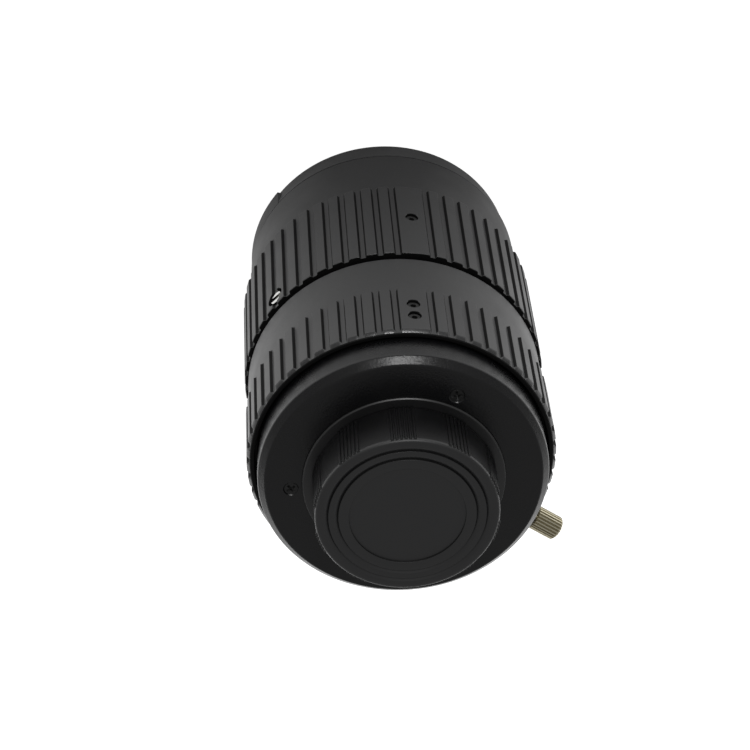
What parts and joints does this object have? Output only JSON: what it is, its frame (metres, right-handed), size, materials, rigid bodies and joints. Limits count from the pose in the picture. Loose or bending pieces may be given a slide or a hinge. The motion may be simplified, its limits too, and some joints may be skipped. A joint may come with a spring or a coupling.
{
  "type": "c-mount machine vision lens",
  "caption": "Manual machine vision lens for C-mount cameras, with turning iris and focus rings, a lock thumbscrew and caps on both ends.",
  "frame": {"origin": "centre of the C-mount flange seat, on the optical axis", "axes": "+Z is the optical axis towards the camera, the front of the lens points to -Z; +X and +Y are across it"},
  "size_m": [0.0532, 0.051, 0.0794],
  "materials": {
    "anodised_aluminium": "satin black anodised aluminium, turned",
    "black_oxide_steel": "black oxide steel",
    "blade_steel": "blackened spring steel sheet",
    "brass": "machined brass",
    "nickel_silver": "bright turned nickel silver, straight knurl",
    "zinc_plated_steel": "bright plated steel",
    "coated_glass": "polished optical glass with a thin coating",
    "moulded_plastic": "fine satin moulded plastic",
    "spring_steel": "drawn spring wire"
  },
  "bodies": {
    "main": {"main_barrel": "anodised_aluminium", "rear_housing": "anodised_aluminium", "c_mount_ring": "anodised_aluminium", "rear_housing_screws": "black_oxide_steel", "iris_housing": "anodised_aluminium", "iris_retaining_ring": "anodised_aluminium", "rear_cell": "anodised_aluminium", "fourth_element": "coated_glass", "rear_spacer": "anodised_aluminium", "rear_element": "coated_glass", "rear_retaining_ring": "anodised_aluminium", "guide_key": "brass", "helicoid_retaining_ring": "anodised_aluminium"},
    "iris_ring": {"iris_ring": "anodised_aluminium", "iris_set_screws": "black_oxide_steel", "iris_drive_screw": "black_oxide_steel", "iris_drive_ring": "anodised_aluminium"},
    "iris_lock_screw": {"iris_lock_screw": "nickel_silver"},
    "focus_ring": {"focus_ring": "anodised_aluminium", "focus_set_screws": "black_oxide_steel", "focus_stop_screw": "zinc_plated_steel", "helicoid_ring": "anodised_aluminium"},
    "focus_group": {"front_barrel": "anodised_aluminium", "front_cell": "anodised_aluminium", "front_element": "coated_glass", "front_spacer": "anodised_aluminium", "front_retaining_ring": "anodised_aluminium", "second_element": "coated_glass", "third_element": "coated_glass", "middle_retaining_ring": "anodised_aluminium"},
    "front_cap": {"front_cap": "moulded_plastic", "front_cap_plate": "moulded_plastic", "front_cap_spring_1": "spring_steel", "front_cap_spring_2": "spring_steel"},
    "front_cap_tab_1": {"front_cap_tab_1": "moulded_plastic"},
    "front_cap_tab_2": {"front_cap_tab_2": "moulded_plastic"},
    "rear_cap": {"rear_cap": "moulded_plastic"},
    "iris_blade_1": {"iris_blade_1": "blade_steel"},
    "iris_blade_2": {"iris_blade_2": "blade_steel"},
    "iris_blade_3": {"iris_blade_3": "blade_steel"},
    "iris_blade_4": {"iris_blade_4": "blade_steel"},
    "iris_blade_5": {"iris_blade_5": "blade_steel"},
    "iris_blade_6": {"iris_blade_6": "blade_steel"}
  },
  "joints": [
    {"name": "iris_turn", "type": "hinge", "parent": "main", "child": "iris_ring", "pos_m": [0, 0, -0.0176], "axis": [0, 0, 1], "range_deg": [0, 48]},
    {"name": "iris_lock_screw_turn", "type": "hinge", "parent": "iris_ring", "child": "iris_lock_screw", "pos_m": [-0.02296, 0.01602, -0.0106], "axis": [-0.8202, 0.5721, 0], "range_deg": [0, 360]},
    {"name": "focus_turn", "type": "hinge", "parent": "main", "child": "focus_ring", "pos_m": [0, 0, -0.0408], "axis": [0, 0, 1], "range_deg": [0, 181]},
    {"name": "focus_slide", "type": "slide", "parent": "main", "child": "focus_group", "axis": [0, 0, -1], "range_m": [0, 0.004]},
    {"name": "front_cap_slide", "type": "slide", "parent": "focus_group", "child": "front_cap", "axis": [0, 0, -1], "range_m": [0, 0.01]},
    {"name": "rear_cap_slide", "type": "slide", "parent": "main", "child": "rear_cap", "axis": [0, 0, 1], "range_m": [0, 0.015]},
    {"name": "front_cap_tab_1_press", "type": "slide", "parent": "front_cap", "child": "front_cap_tab_1", "axis": [-0.9563, 0.2924, 0], "range_m": [0, 0.0018], "stiffness_N_per_m": 300, "springref_m": -0.002, "deforming": ["front_cap_spring_1"]},
    {"name": "front_cap_tab_2_press", "type": "slide", "parent": "front_cap", "child": "front_cap_tab_2", "axis": [0.9563, -0.2924, 0], "range_m": [0, 0.0018], "stiffness_N_per_m": 300, "springref_m": -0.002, "deforming": ["front_cap_spring_2"]},
    {"name": "iris_blade_1_swing", "type": "hinge", "parent": "main", "child": "iris_blade_1", "pos_m": [0.01401, -0.00872, -0.0116], "axis": [0, 0, 1], "range_deg": [-27, 0.5]},
    {"name": "iris_blade_2_swing", "type": "hinge", "parent": "main", "child": "iris_blade_2", "pos_m": [0.01456, 0.00777, -0.0116], "axis": [0, 0, 1], "range_deg": [-27, 0.5]},
    {"name": "iris_blade_3_swing", "type": "hinge", "parent": "main", "child": "iris_blade_3", "pos_m": [0.00055, 0.01649, -0.0116], "axis": [0, 0, 1], "range_deg": [-27, 0.5]},
    {"name": "iris_blade_4_swing", "type": "hinge", "parent": "main", "child": "iris_blade_4", "pos_m": [-0.01401, 0.00872, -0.0116], "axis": [0, 0, 1], "range_deg": [-27, 0.5]},
    {"name": "iris_blade_5_swing", "type": "hinge", "parent": "main", "child": "iris_blade_5", "pos_m": [-0.01456, -0.00777, -0.0116], "axis": [0, 0, 1], "range_deg": [-27, 0.5]},
    {"name": "iris_blade_6_swing", "type": "hinge", "parent": "main", "child": "iris_blade_6", "pos_m": [-0.00055, -0.01649, -0.0116], "axis": [0, 0, 1], "range_deg": [-27, 0.5]}
  ],
  "couplings": [
    {"joint": "focus_turn", "follows": "focus_slide", "rad_per_m": 785.4},
    {"joint": "iris_blade_1_swing", "follows": "iris_turn", "ratio": -0.54167},
    {"joint": "iris_blade_2_swing", "follows": "iris_turn", "ratio": -0.54167},
    {"joint": "iris_blade_3_swing", "follows": "iris_turn", "ratio": -0.54167},
    {"joint": "iris_blade_4_swing", "follows": "iris_turn", "ratio": -0.54167},
    {"joint": "iris_blade_5_swing", "follows": "iris_turn", "ratio": -0.54167},
    {"joint": "iris_blade_6_swing", "follows": "iris_turn", "ratio": -0.54167}
  ]
}
